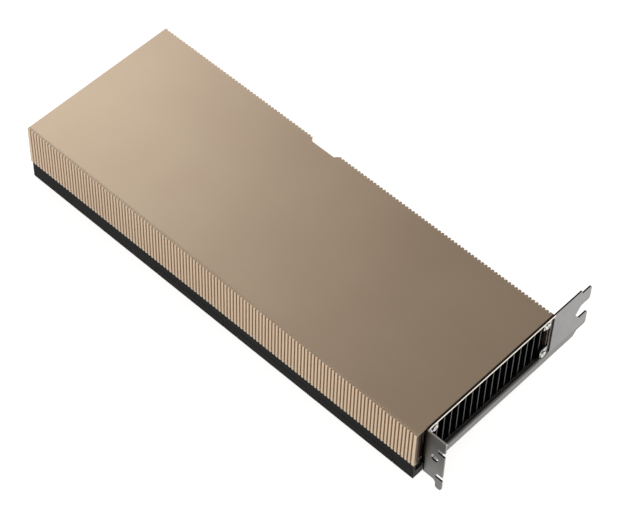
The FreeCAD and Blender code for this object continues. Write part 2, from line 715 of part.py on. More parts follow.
def make_bridge_cap(number):
    """Cover of one bridge connector: flush face and two lips that grip the board."""
    body = new_body(f"bridge_cap_{number}")
    middle = f"(-cap_first - {number - 1} * cap_pitch)"
    left = f"{middle} - slot_length / 2 + cap_gap"
    right = f"{middle} + slot_length / 2 - cap_gap"
    lip_foot = "backplate_sheet + film_thickness + cap_grip"
    mouth_low = f"({board_bottom} - cap_grip)"
    mouth_high = f"({board_top} + cap_grip)"
    face = f"{near_valley} + cap_face"
    throat = "-board_side - cap_grip"
    section = [(near_valley, "0"), (face, "0"), (face, lip_foot), ("cap_lip", lip_foot), ("cap_lip", mouth_low),
               (throat, mouth_low), (throat, mouth_high), ("cap_lip", mouth_high),
               ("cap_lip", "slot_top - cap_gap"), (near_valley, "slot_top - cap_gap")]
    grow(body, "cap", "X", left, right, [section])


def trimmed_corners():
    """Corners that the heat sink leaves free: screw bosses, support pads and the power connector."""
    boss_front = f"{front_face} - ear_boss_depth - trim_gap"
    boss_rear = f"{rear_face} + ear_boss_depth + trim_gap"
    return [
        rectangle(boss_front, sink_front, sink_near, "ear_left + ear_boss / 2 + trim_gap"),
        rectangle(sink_rear, boss_rear, sink_near, "ear_left + ear_boss / 2 + trim_gap"),
        rectangle(sink_rear, f"{plug_back} + trim_gap", f"{plug_row} - trim_gap",
                  f"{plug_row} + {plug_width} + trim_gap"),
    ]


def make_heatsink_base():
    """Vapour chamber that the fins stand on, with a pedestal over the processor."""
    body = new_body("heatsink_base")
    grow(body, "chamber", "Z", "sink_underside", sink_top, [rectangle(sink_rear, sink_front, sink_near, sink_far)])
    carve(body, "corners", "Z", "sink_underside", sink_top, trimmed_corners())
    grow(body, "pedestal_block", "Z", f"{die_top} + film_thickness", "sink_underside",
         [square("-package_middle", package_row, "pedestal")])


def make_heatsink_fins():
    """Plain upright fins along the card, trimmed at the corners."""
    body = new_body("heatsink_fins", several=True)
    fin_top = f"{ceiling} - fin_gap"
    fin = grow(body, "fin", "Z", sink_top, fin_top,
               [rectangle(sink_rear, sink_front, sink_near, f"{sink_near} + fin_thickness")])
    repeat(body, "fins", fin, "V_Axis", fin_pitch, "fin_count")
    carve(body, "corners", "Z", sink_top, fin_top, trimmed_corners())


def make_package():
    """Processor package: substrate, stiffening ring, die, memory stacks and the interface sheet."""
    middle, row = "-package_middle", package_row
    substrate = new_body("package_substrate")
    grow(substrate, "substrate", "Z", board_top, substrate_top, [square(middle, row, "substrate_size")])
    ring = new_body("package_frame")
    ring_top = f"{substrate_top} + ring_height"
    grow(ring, "ring", "Z", substrate_top, ring_top, [square(middle, row, "substrate_size")])
    carve(ring, "opening", "Z", substrate_top, ring_top, [square(middle, row, "(substrate_size - 2 * ring_width)")])
    die = new_body("processor_die")
    grow(die, "die", "Z", substrate_top, die_top,
         [rectangle(f"{middle} - die_width / 2", f"{middle} + die_width / 2",
                    f"{row} - die_length / 2", f"{row} + die_length / 2")])
    memory = new_body("memory_stacks", several=True)
    first = f"({row} - memory_length - memory_gap)"
    inner = "(die_width / 2 + memory_gap)"
    columns = [rectangle(f"{middle} {sign} {inner}", f"{middle} {sign} ({inner} + memory_width)",
                         f"{first} - memory_length / 2", f"{first} + memory_length / 2") for sign in "+-"]
    stack = grow(memory, "stack", "Z", substrate_top, die_top, columns)
    repeat(memory, "stacks", stack, "V_Axis", "memory_length + memory_gap", "3")
    sheet_body = new_body("thermal_interface")
    grow(sheet_body, "interface", "Z", die_top, f"{die_top} + film_thickness", [square(middle, row, "pedestal")])


def make_retention():
    """Posts, leaf spring and screws that clamp the heat sink onto the package."""
    spring = new_body("retention_spring")
    middle, row = "-package_middle", package_row
    waist = "(spring_arm * 0.7071)"
    long_tip, short_tip = f"(spring_tip + {waist} / 2)", f"(spring_tip - {waist} / 2)"
    quarter = [(waist, "0"), (long_tip, short_tip), (short_tip, long_tip)]
    outline = []
    for turn in range(4):
        for across, up in quarter:
            for step in range(turn):
                across, up = f"(-{up})", across
            outline.append((f"{middle} + {across}", f"{row} + {up}"))
    grow(spring, "leaf", "Z", f"{spring_top} - spring_sheet", spring_top, [outline])
    carve(spring, "holes", "Z", f"{spring_top} - spring_sheet", spring_top,
          [(*spot, "small_screw + screw_clearance") for spot in posts])
    shoulder = value(f"{board_top} + neck_clearance - {spring_top}")
    length = value(f"sink_underside - {spring_top}")
    bore = value("small_screw + screw_clearance")
    depth = length - value("pad_pitch")
    neck, radius = value("post_neck"), value("post_radius")
    up = Vector(0, 0, 1)
    solids = []
    for x, y in posts:
        centre = Vector(value(x), value(y), value(spring_top))
        angles = [turn * math.pi / 3 for turn in range(7)]
        corners = [centre + Vector(radius * math.cos(angle), radius * math.sin(angle), shoulder) for angle in angles]
        shank = Part.Face(Part.makePolygon(corners)).extrude(Vector(0, 0, length - shoulder))
        post = shank.fuse(Part.makeCylinder(neck, shoulder, centre, up))
        solids.append(post.cut(Part.makeCylinder(bore, depth, centre, up)).removeSplitter())
    add_group("retention_posts", solids)
    head, shank = value("small_head"), value("small_screw")
    head_height = value("small_head_height")
    tip = head_height + value("spring_sheet") + depth / 2
    screw = [(0, 0), (head, 0), (head, head_height), (shank, head_height), (shank, tip), (0, tip)]
    foot = value(f"{spring_top} - spring_sheet - small_head_height")
    add_group("retention_screws", [turned(screw, Vector(value(x), value(y), foot), up) for x, y in posts])


def make_screws():
    """Countersunk backplate screws and flat-headed frame screws."""
    shank, head = value("screw_radius"), value("sunk_head_radius")
    tip = value(f"{boss_top} - boss_gap")
    sink = head - shank
    countersunk = [(0, 0), (head, 0), (shank, sink), (shank, tip), (0, tip)]
    add_group("backplate_screws", [turned(countersunk, Vector(value(x), value(y), 0), Vector(0, 0, 1))
                                   for x, y in screw_places])
    head, head_height = value("head_radius"), value("head_height")
    reach = head_height + value("frame_sheet + ear_boss_depth - frame_gap")
    flat = [(0, 0), (head, 0), (head, head_height), (shank, head_height), (shank, reach), (0, reach)]
    for label, seat, inwards in (("bracket_screws", "-bracket_sheet", -1),
                                 ("rear_screws", "rear_inset - card_length", 1)):
        start = value(seat) - inwards * head_height
        add_group(label, [turned(flat, Vector(start, value(y), value(z)), Vector(inwards, 0, 0)) for y, z in ears])


def make_power_parts():
    """Inductors, power stages, capacitors and chips between the board and the heat sink."""
    coils = new_body("power_inductors", several=True)
    coil_top = f"({board_top} + coil_height)"
    coil = grow(coils, "coil", "Z", board_top, coil_top,
                [square(f"-{column}", coil_row, "coil_size") for column in COIL_COLUMNS])
    repeat(coils, "coil_rows", coil, "V_Axis", "coil_pitch", "coil_count")
    pads = new_body("inductor_pads", several=True)
    grow(pads, "strips", "Z", coil_top, "sink_underside",
         [rectangle(f"-{column} - coil_size / 2", f"-{column} + coil_size / 2", f"{coil_row} - coil_size / 2",
                    f"{coil_row} + (coil_count - 1) * coil_pitch + coil_size / 2") for column in COIL_COLUMNS])
    stages = new_body("power_stages", several=True)
    stage = grow(stages, "stage", "Z", board_top, f"{board_top} + stage_height",
                 [square(f"(stage_offset - {column})", coil_row, "stage_size") for column in COIL_COLUMNS])
    repeat(stages, "stage_rows", stage, "V_Axis", "coil_pitch", "coil_count")
    capacitors = new_body("input_capacitors", several=True)
    capacitor = grow(capacitors, "capacitor", "Z", board_top, f"{board_top} + capacitor_height",
                     [rectangle(f"{column} - card_length - capacitor_length / 2",
                                f"{column} - card_length + capacitor_length / 2",
                                f"{coil_row} - capacitor_width / 2", f"{coil_row} + capacitor_width / 2")
                      for column in CAPACITOR_COLUMNS])
    repeat(capacitors, "capacitor_rows", capacitor, "V_Axis", "coil_pitch", "coil_count")
    chips = new_body("controller_chips", several=True)
    grow(chips, "chips", "Z", board_top, f"{board_top} + chip_height",
         [square("-chip_column", f"({package_row} - chip_near)", "chip_size"),
          square("-chip_column", f"({package_row} + chip_far)", "chip_size")])


def socket_centres():
    for column in range(int(value("socket_columns"))):
        for row in range(int(value("socket_rows"))):
            yield (f"({plug_row} + plug_wall + ({column} + 0.5) * socket_pitch)",
                   f"({board_top} + plug_wall + ({row} + 0.5) * socket_pitch)")


def make_power_connector():
    """Two-row power header at the far end, with its pins."""
    housing = new_body("power_connector")
    box = rectangle(plug_row, f"{plug_row} + {plug_width}", board_top, plug_top)
    grow(housing, "housing", "X", plug_end, plug_back, [box])
    carve(housing, "sockets", "X", plug_end, f"{plug_end} + socket_depth",
          [square(across, up, "socket_size") for across, up in socket_centres()])
    middle = f"({plug_row} + {plug_width} / 2)"
    grow(housing, "latch", "X", f"{plug_end} + latch_rib", f"{plug_end} + 3 * latch_rib",
         [rectangle(f"{middle} - 1.5 * latch_rib", f"{middle} + 1.5 * latch_rib", plug_top, f"{plug_top} + latch_rib")])
    pins = new_body("power_pins", several=True)
    grow(pins, "pins", "X", f"{plug_end} + socket_depth - pin_length", f"{plug_end} + socket_depth",
         [square(across, up, "pin_size") for across, up in socket_centres()])


make_shroud()
make_io_bracket()
make_front_frame()
make_rear_frame()
make_base_frame()
make_backplate()
make_insulating_film()
make_circuit_board()
make_edge_contacts("edge_contacts_front", board_top)
make_edge_contacts("edge_contacts_back", f"({board_bottom} - pad_thickness)")
make_bridge_contacts()
for cap_number in range(1, int(SIZES["cap_count"]) + 1):
    make_bridge_cap(cap_number)
make_heatsink_base()
make_heatsink_fins()
make_package()
make_retention()
make_screws()
make_power_parts()
make_power_connector()
doc.recompute()

for item in doc.Objects:
    if "Invalid" in item.State or "Error" in item.State:
        raise RuntimeError(f"{item.Label} has failed: {item.State}")
for part in parts:
    if part.Shape.isNull() or not part.Shape.isValid():
        raise RuntimeError(f"{part.Label} has no valid shape")

os.makedirs("parts", exist_ok=True)
for part in parts:
    part.Shape.exportStep(f"parts/{part.Label}.step")
    print(f"{part.Label}: {len(part.Shape.Solids)} solids, {part.Shape.Volume:.0f} mm3")
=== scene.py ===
import json
import math

import bmesh
import bpy
from mathutils import Matrix, Vector


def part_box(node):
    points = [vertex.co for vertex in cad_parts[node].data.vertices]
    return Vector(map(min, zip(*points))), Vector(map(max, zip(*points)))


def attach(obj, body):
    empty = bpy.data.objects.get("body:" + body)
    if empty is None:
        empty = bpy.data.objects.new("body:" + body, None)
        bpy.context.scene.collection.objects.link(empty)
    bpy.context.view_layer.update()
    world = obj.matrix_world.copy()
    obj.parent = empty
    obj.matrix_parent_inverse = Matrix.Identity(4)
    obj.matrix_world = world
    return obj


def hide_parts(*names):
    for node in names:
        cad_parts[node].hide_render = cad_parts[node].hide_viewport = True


# A passive accelerator card: finishes, drive recesses, stage, lights and camera.
# Everything is in metres; the card lies on its backplate with the slot bracket towards +X.
# Noise is given as scale per metre, detail and roughness; a bump as strength and depth.

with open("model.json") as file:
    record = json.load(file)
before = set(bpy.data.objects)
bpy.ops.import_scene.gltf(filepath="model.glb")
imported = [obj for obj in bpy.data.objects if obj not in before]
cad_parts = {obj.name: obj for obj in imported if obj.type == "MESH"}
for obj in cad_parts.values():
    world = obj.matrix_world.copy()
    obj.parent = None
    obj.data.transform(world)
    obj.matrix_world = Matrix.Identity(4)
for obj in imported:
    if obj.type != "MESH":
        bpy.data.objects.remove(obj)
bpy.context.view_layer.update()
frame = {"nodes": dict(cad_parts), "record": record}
print("frame loaded:", len(frame["nodes"]), "nodes")


class Value:
    # a socket that can stand in a Python expression; each operator adds a Math node

    def __init__(self, nodes, socket):
        self.nodes = nodes
        self.socket = socket

    def math(self, operation, first, second):
        return self.nodes.add("ShaderNodeMath", {"operation": operation}, {0: first, 1: second})

    def __add__(self, other):
        return self.math("ADD", self, other)

    def __radd__(self, other):
        return self.math("ADD", other, self)

    def __sub__(self, other):
        return self.math("SUBTRACT", self, other)

    def __rsub__(self, other):
        return self.math("SUBTRACT", other, self)

    def __mul__(self, other):
        return self.math("MULTIPLY", self, other)

    def __rmul__(self, other):
        return self.math("MULTIPLY", other, self)

    def __gt__(self, other):
        return self.math("GREATER_THAN", self, other)

    def __lt__(self, other):
        return self.math("LESS_THAN", self, other)

    def __abs__(self):
        return self.math("ABSOLUTE", self, 0.0)


class Nodes:
    # the node tree of a material or a world

    def __init__(self, owner):
        owner.use_nodes = True
        self.tree = owner.node_tree

    def add(self, kind, settings=None, sockets=None, output=0):
        # settings come first, because some of them change which sockets a node has
        node = self.tree.nodes.new(kind)
        for key, setting in (settings or {}).items():
            setattr(node, key, setting)
        for key, value in (sockets or {}).items():
            self.feed(node.inputs[key], value)
        return Value(self, node.outputs[output])

    def feed(self, socket, value):
        if isinstance(value, Value):
            self.tree.links.new(value.socket, socket)
        elif socket.type == "RGBA":
            socket.default_value = (*value, 1.0)
        else:
            socket.default_value = value

    def blend(self, factor, first, second):
        # a Mix node keeps its colours in sockets 6 and 7 and gives the mixed one as output 2
        return self.add("ShaderNodeMix", {"data_type": "RGBA"}, {0: factor, 6: first, 7: second}, 2)

    def spread(self, value, low, high, atLow=0.0, atHigh=1.0):
        return self.add("ShaderNodeMapRange", {}, {
            "Value": value, "From Min": low, "From Max": high, "To Min": atLow, "To Max": atHigh})


class Shader(Nodes):
    # one material: its Principled surface and the nodes that feed it

    def __init__(self, name):
        self.material = bpy.data.materials.new(name)
        super().__init__(self.material)
        self.surface = self.tree.nodes["Principled BSDF"]
        self.place = self.add("ShaderNodeTexCoord", output="Object")
        self.facing = self.add("ShaderNodeNewGeometry", output="Normal")

    def finish(self, **values):
        # keyword baseColor feeds the socket "Base Color", and so on
        sockets = {socket.name.replace(" ", "").lower(): socket for socket in self.surface.inputs}
        for key, value in values.items():
            self.feed(sockets[key.lower()], value)
        return self.material

    def noise(self, scale, detail, rough, vector=None):
        return self.add("ShaderNodeTexNoise", {}, {
            "Vector": vector or self.place, "Scale": scale, "Detail": detail, "Roughness": rough})

    def streaks(self, scales, detail, rough):
        # noise drawn out along the axis with the smallest scale
        drawn = self.add("ShaderNodeVectorMath", {"operation": "MULTIPLY"}, {0: self.place, 1: scales})
        return self.noise(1.0, detail, rough, drawn)

    def axis(self, vector, name):
        return self.add("ShaderNodeSeparateXYZ", {}, {0: vector}, name)

    def bump(self, height, strength, depth):
        return self.add("ShaderNodeBump", {}, {"Height": height, "Strength": strength, "Distance": depth})


def darker(color, share):
    return [part * share for part in color]


champagne = {
    "color": (0.60, 0.475, 0.345),
    "tint": (0.575, 0.445, 0.325),
    "roughness": 0.36,
    "grain": (5200.0, 3.0, 0.6),         # blasted grain
    "grainRough": 0.16,
    "grainBump": (0.5, 0.000004),
    "streak": ((14.0, 500.0, 500.0), 2.0, 0.5),
    "streakRough": 0.04,
    "streakShare": 0.2,
    "cloud": (22.0, 2.0, 0.5),
    "cloudShare": 0.8,
    "toneRange": (0.35, 0.65),
    "crest": -0.0628,                    # the ribs, across the card
    "groove": -0.0619,
    # metallic taken out of the grooves so they read lighter: painted light in the shaded grooves
    "grooveDull": 0.55,
    "end": (0.16, 0.105, 0.075),         # sawn front end, painted dark: painted shade from the bracket
    "endFacing": 0.35,
    "cornerStart": -0.0612,              # the part of the end with painted shade, across the card
    "cornerEnd": -0.050,
    "rim": (0.80, 0.70, 0.56),           # painted highlight along the top and foot edges of that end
    # metallic taken out under that painted highlight
    "rimDull": 0.9,
    "rimTop": 0.0382,
    "rimFoot": 0.0142,
    # bead on the end, painted lighter than the painted shade around it: a painted highlight
    "bead": (0.42, 0.29, 0.21),
    "beadPlace": -0.05941,
    "beadHalf": 0.0004,
    "beadStart": 0.12555,
    "beadEnd": 0.1262,
}


def champagneMetal():
    spec = champagne
    shader = Shader("champagneAnodised")
    grain = shader.noise(*spec["grain"])
    streak = shader.streaks(*spec["streak"])
    cloud = shader.noise(*spec["cloud"])
    along, across, height = (shader.axis(shader.place, name) for name in "XYZ")
    tone = cloud * spec["cloudShare"] + streak * spec["streakShare"]
    face = shader.blend(shader.spread(tone, *spec["toneRange"]), spec["tint"], spec["color"])
    corner = across < spec["cornerStart"]
    sawn = (shader.axis(shader.facing, "X") > spec["endFacing"]) * (across < spec["cornerEnd"])
    rim = (height > spec["rimTop"]) + (height < spec["rimFoot"])
    # painted light: the grooves lose metallic so their shade reads lighter
    inGroove = shader.spread(across, spec["crest"], spec["groove"]) * corner
    bead = (abs(across - spec["beadPlace"]) < spec["beadHalf"]) * (along > spec["beadStart"])
    # painted shade: the end beside the bracket is darkened, the ribs' ends keep the tint
    end = shader.blend(across > spec["cornerStart"], spec["tint"], spec["end"])
    # painted highlight on the top and foot edges of the end
    end = shader.blend(rim, end, spec["rim"])
    # painted highlight on the bead
    end = shader.blend(bead * (along < spec["beadEnd"]), end, spec["bead"])
    return shader.finish(
        baseColor=shader.blend(sawn, face, end),
        # metallic taken out under the painted highlight on the end's edges, and in the grooves for
        # painted light
        metallic=1.0 - sawn * rim * spec["rimDull"] - inGroove * (1.0 - sawn) * spec["grooveDull"],
        roughness=(spec["roughness"] + (grain - 0.5) * spec["grainRough"]
                   + (streak - 0.5) * spec["streakRough"]),
        normal=shader.bump(grain, *spec["grainBump"]),
    )


blackCoat = {
    "color": (0.006, 0.006, 0.0065),
    "dust": (0.012, 0.0118, 0.0115),
    "dustRange": (0.4, 0.7),
    "cloud": (40.0, 3.0, 0.6),
    "end": (0.07, 0.069, 0.066),         # painted light: the ends are painted lighter grey
    "endFacing": 0.8,
    "gloss": 0.03,
    "grain": (2600.0, 3.0, 0.65),
    "grainRough": 0.2,
    "grainStrength": 0.7,
}

blackPieces = {
    # slot: material, roughness, depth of the grain
    "black_casting": ("blackCasting", 0.42, 0.00001),
    "black_backplate": ("blackBackplate", 0.46, 0.000008),
    "black_cap": ("capPlastic", 0.40, 0.000005),
}


def blackCoating(name, roughness, grainDepth):
    spec = blackCoat
    shader = Shader(name)
    grain = shader.noise(*spec["grain"])
    dusty = shader.spread(shader.noise(*spec["cloud"]), *spec["dustRange"])
    # painted light on the ends that face along the card
    paintedLitEnds = abs(shader.axis(shader.facing, "X")) > spec["endFacing"]
    return shader.finish(
        baseColor=shader.blend(paintedLitEnds, shader.blend(dusty, spec["color"], spec["dust"]), spec["end"]),
        roughness=roughness + (grain - 0.5) * spec["grainRough"],
        specularIORLevel=spec["gloss"],
        normal=shader.bump(grain, spec["grainStrength"], grainDepth),
    )


bracketSheet = {
    "color": (0.275, 0.272, 0.268),
    "shade": (0.23, 0.228, 0.224),
    "shadeRange": (0.35, 0.65),
    "roughness": 0.34,
    "brushed": ((2600.0, 120.0, 2600.0), 3.0, 0.6),
    "brushedRough": 0.14,
    "brushedBump": (0.35, 0.000006),
    "cloud": (95.0, 4.0, 0.6),
    "cloudRough": 0.1,
    "edgeFacing": 0.6,
    "edge": (0.03, 0.0295, 0.029),       # painted dark reflection on the upper edge and the window's sides
    "lip": (0.50, 0.49, 0.475),          # painted highlight on the tab's upper edge and the window's sill
    # metallic taken out under that painted highlight
    "lipDull": 0.9,
    "sill": 0.0120,
    "rim": (0.95, 0.86, 0.74),           # painted highlight: bright strip over the window
    "rimFoot": 0.0390,
    "rimEnd": 0.035,                     # where that strip ends, across the card
    "railColor": (0.19, 0.188, 0.186),   # painted shade on the strip below the window
    "railTop": 0.0092,
    "tabStart": 0.12805,
    "tabTop": 0.0370,
    # painted shade on the tab, darker towards its top
    "tabHigh": (0.05, 0.048, 0.045),
    "tabLow": (0.17, 0.166, 0.158),
    "tabFade": (0.012, 0.034),
}


def bracketSteel():
    spec = bracketSheet
    shader = Shader("bracketSteel")
    brushed = shader.streaks(*spec["brushed"])
    cloud = shader.noise(*spec["cloud"])
    along, across, height = (shader.axis(shader.place, name) for name in "XYZ")
    # edges facing up or sideways carry painted dark reflection, apart from the lips and the tab
    upright = abs(shader.axis(shader.facing, "Z")) > spec["edgeFacing"]
    sideways = abs(shader.axis(shader.facing, "Y")) > spec["edgeFacing"]
    tab = along > spec["tabStart"]
    overWindow = (height > spec["rimFoot"]) * (across < spec["rimEnd"])
    face = shader.blend(shader.spread(cloud, *spec["shadeRange"]), spec["shade"], spec["color"])
    # painted highlight: bright strip over the window
    face = shader.blend(overWindow, face, spec["rim"])
    # painted shade on the strip below the window
    face = shader.blend(height < spec["railTop"], face, spec["railColor"])
    # painted shade on the tab, darker towards its top
    tabFace = shader.blend(shader.spread(height, *spec["tabFade"]), spec["tabLow"], spec["tabHigh"])
    side = shader.blend(tab, spec["edge"], tabFace)
    # painted highlight on the lips
    lip = (tab * (height > spec["tabTop"]) + (1.0 - tab) * (height < spec["sill"])) > 0.5
    edge = shader.blend(lip, spec["edge"], spec["lip"])
    return shader.finish(
        baseColor=shader.blend(upright, shader.blend(sideways, face, side), edge),
        metallic=1.0 - upright * lip * spec["lipDull"],
        roughness=(spec["roughness"] + (brushed - 0.5) * spec["brushedRough"]
                   + (cloud - 0.5) * spec["cloudRough"]),
        normal=shader.bump(brushed, *spec["brushedBump"]),
    )


brushing = {
    # upright brush marks that the frames and the screws share
    "lines": ((2600.0, 2600.0, 200.0), 3.0, 0.6),
    "linesRough": 0.12,
    "cloud": (260.0, 3.0, 0.5),
    "cloudRange": (0.3, 0.7),
    "shade": 0.85,
}


def brushedSteel(shader, color):
    # gives the clouded colour and the brush marks
    brushed = shader.streaks(*brushing["lines"])
    cloud = shader.spread(shader.noise(*brushing["cloud"]), *brushing["cloudRange"])
    return shader.blend(cloud, darker(color, brushing["shade"]), color), brushed


frameSheet = {
    "color": (0.58, 0.57, 0.55),
    "roughness": 0.27,
    "edgeFacing": 0.6,
    "edge": (0.012, 0.012, 0.012),       # painted shade on the window's sides and the strip behind the bracket's sill
    "stripTop": 0.0103,
    # painted shade on the upward faces, with metallic taken out under it
    "sill": (0.05, 0.049, 0.047),
    "sillDull": 0.9,
    "bump": (0.3, 0.000004),
}


def frameSteel():
    spec = frameSheet
    shader = Shader("frameSteel")
    face, brushed = brushedSteel(shader, spec["color"])
    upright = abs(shader.axis(shader.facing, "Z")) > spec["edgeFacing"]
    sideways = abs(shader.axis(shader.facing, "Y")) > spec["edgeFacing"]
    # painted shade on the sideways faces and on the strip behind the bracket's sill
    paintedShadeMask = sideways + (shader.axis(shader.place, "Z") < spec["stripTop"])
    return shader.finish(
        baseColor=shader.blend(upright, shader.blend(paintedShadeMask > 0.5, face, spec["edge"]), spec["sill"]),
        metallic=1.0 - upright * spec["sillDull"],
        roughness=spec["roughness"] + (brushed - 0.5) * brushing["linesRough"],
        normal=shader.bump(brushed, *spec["bump"]),
    )


screwMetal = {
    "color": (0.74, 0.735, 0.72),
    "roughness": 0.22,
    "bump": (0.3, 0.000004),
}


def screwSteel():
    spec = screwMetal
    shader = Shader("screwSteel")
    face, brushed = brushedSteel(shader, spec["color"])
    return shader.finish(
        baseColor=face,
        metallic=1.0,
        roughness=spec["roughness"] + (brushed - 0.5) * brushing["linesRough"],
        normal=shader.bump(brushed, *spec["bump"]),
    )


finSheet = {
    "color": (0.012, 0.012, 0.013),
    # painted highlight on the sheared edges that face along the card
    "cut": (0.04, 0.04, 0.042),
    "cutFacing": 0.7,
    "metallic": 0.85,
    "roughness": 0.38,
    "roll": ((60.0, 900.0, 2400.0), 3.0, 0.55),
    "rollRough": 0.16,
    "rollBump": (0.4, 0.000006),
}


def finMetal():
    # black anodised sheet; its sheared edges that face the air carry a painted highlight
    spec = finSheet
    shader = Shader("finSheet")
    roll = shader.streaks(*spec["roll"])
    edge = abs(shader.axis(shader.facing, "X")) > spec["cutFacing"]
    return shader.finish(
        baseColor=shader.blend(edge, spec["color"], spec["cut"]),
        metallic=spec["metallic"],
        roughness=spec["roughness"] + (roll - 0.5) * spec["rollRough"],
        normal=shader.bump(roll, *spec["rollBump"]),
    )


boardFinish = {
    "resist": (0.010, 0.014, 0.012),
    "copper": (0.020, 0.027, 0.022),
    "copperShare": 0.5,
    "traceLength": 0.021,
    "tracePitch": 0.0011,
    "traceGap": 0.00025,
    "secondTrace": (0.8, 0.8, 0.8),      # every other trace stands a little lower
    "glass": (0.22, 0.20, 0.12),
    "cutFacing": 0.5,
    "cutRough": 0.3,
    "roughness": 0.34,
    "weave": (3000.0, 2.0, 0.5),
    "weaveRough": 0.1,
    "weaveShare": 0.3,
    "bump": (0.4, 0.00002),
}


def boardLaminate():
    # solder resist over traces on the faces, bare laminate on the cut edges
    spec = boardFinish
    shader = Shader("boardLaminate")
    traces = shader.add("ShaderNodeTexBrick", {"offset": 0.5}, {
        "Vector": shader.place, "Scale": 1.0, "Color1": (1.0, 1.0, 1.0), "Color2": spec["secondTrace"],
        "Mortar": (0.0, 0.0, 0.0), "Mortar Size": spec["traceGap"], "Brick Width": spec["traceLength"],
        "Row Height": spec["tracePitch"]})
    weave = shader.noise(*spec["weave"])
    cut = abs(shader.axis(shader.facing, "Z")) < spec["cutFacing"]
    face = shader.blend(traces * spec["copperShare"], spec["resist"], spec["copper"])
    return shader.finish(
        baseColor=shader.blend(cut, face, spec["glass"]),
        roughness=spec["roughness"] + cut * spec["cutRough"] + (weave - 0.5) * spec["weaveRough"],
        normal=shader.bump(traces + weave * spec["weaveShare"], *spec["bump"]),
    )


goldPlate = {
    "color": (0.95, 0.71, 0.32),
    "shade": (0.86, 0.60, 0.22),
    "roughness": 0.22,
    "wiped": ((9000.0, 700.0, 9000.0), 3.0, 0.6),
    "wipedRough": 0.12,
    "wipedBump": (0.2, 0.000004),
}


def contactGold():
    spec = goldPlate
    shader = Shader("contactGold")
    wiped = shader.streaks(*spec["wiped"])
    return shader.finish(
        baseColor=shader.blend(wiped, spec["shade"], spec["color"]),
        metallic=1.0,
        roughness=spec["roughness"] + wiped * spec["wipedRough"],
        normal=shader.bump(wiped, *spec["wipedBump"]),
    )


speckle = {
    "detail": 3.0,
    "rough": 0.6,
    "range": (0.3, 0.7),
    "shade": 0.8,
    "speckRough": 0.15,
    "strength": 0.5,
}

plainPieces = {
    # slot: material, colour, roughness, metallic, grain per metre, depth of the grain
    "black_screw": ("blackScrew", (0.03, 0.03, 0.032), 0.35, 0.8, 5000.0, 0.000004),
    "film": ("film", (0.02, 0.02, 0.02), 0.25, 0.0, 1200.0, 0.000004),
    "substrate": ("substrate", (0.03, 0.11, 0.05), 0.4, 0.0, 4200.0, 0.000006),
    "silicon": ("silicon", (0.06, 0.06, 0.07), 0.12, 0.6, 900.0, 0.000001),
    "thermal_pad": ("thermalPad", (0.36, 0.38, 0.42), 0.85, 0.0, 2600.0, 0.00002),
    "ferrite": ("ferrite", (0.09, 0.09, 0.095), 0.6, 0.2, 3800.0, 0.00001),
    "epoxy": ("epoxy", (0.018, 0.018, 0.019), 0.55, 0.0, 5200.0, 0.000006),
    "capacitor_case": ("capacitorCase", (0.05, 0.04, 0.03), 0.45, 0.0, 4200.0, 0.000006),
    "connector_plastic": ("connectorPlastic", (0.016, 0.016, 0.017), 0.38, 0.0, 3000.0, 0.000006),
}


def plainFinish(name, color, roughness, metallic, grain, grainDepth):
    # moulded, pressed or cast small pieces
    shader = Shader(name)
    speck = shader.noise(grain, speckle["detail"], speckle["rough"])
    tone = shader.spread(speck, *speckle["range"])
    return shader.finish(
        baseColor=shader.blend(tone, darker(color, speckle["shade"]), color),
        metallic=metallic,
        roughness=roughness + (speck - 0.5) * speckle["speckRough"],
        normal=shader.bump(speck, speckle["strength"], grainDepth),
    )


finishes = {
    "champagne_anodised": champagneMetal(),
    "bracket_steel": bracketSteel(),
    "frame_steel": frameSteel(),
    "screw_steel": screwSteel(),
    "black_anodised": finMetal(),
    "laminate": boardLaminate(),
    "contact_gold": contactGold(),
}
finishes.update({slot: blackCoating(*values) for slot, values in blackPieces.items()})
finishes.update({slot: plainFinish(*values) for slot, values in plainPieces.items()})

slotOf = {part["node"]: part["material_slot"] for part in frame["record"]["subparts"]}
for node, slot in slotOf.items():
    piece = frame["nodes"][node]
    piece.data.materials.clear()
    piece.data.materials.append(finishes[slot])
print("finishes on", len(slotOf), "nodes")


flatScrew = {
    "rim": 0.00022,          # rounded edge of the head
    "rounding": [(2.6, 0.0), (1.0, 0.3), (0.3, 1.0), (0.0, 2.2)],     # inwards and down, in rims
    "shank": 0.0012,
    "around": 40,
    "drive": 0.0019,         # length of the cross recess
    "driveWidth": 0.00048,
    "driveDepth": 0.00055,
    "driveFoot": 0.45,       # taper: its size at the bottom and above the head
    "driveMouth": 1.15,
    "driveOver": 0.0003,
    "weld": 0.000001,
}

screwSets = {
    # twist turns each cross recess a little further than the last
    "bracket_screws": {"radius": 0.0019, "height": 0.0008, "outwards": (1, 0, 0), "twist": 0.53},
    "rear_screws": {"radius": 0.0019, "height": 0.0008, "outwards": (-1, 0, 0), "twist": 0.71},
    "retention_screws": {"radius": 0.0019, "height": 0.0011, "outwards": (0, 0, -1), "twist": 0.37},
}


def asObject(name, mesh):
    bmesh.ops.recalc_face_normals(mesh, faces=mesh.faces)
    data = bpy.data.meshes.new(name)
    mesh.to_mesh(data)
    mesh.free()
    made = bpy.data.objects.new(name, data)
    bpy.context.scene.collection.objects.link(made)
    return made


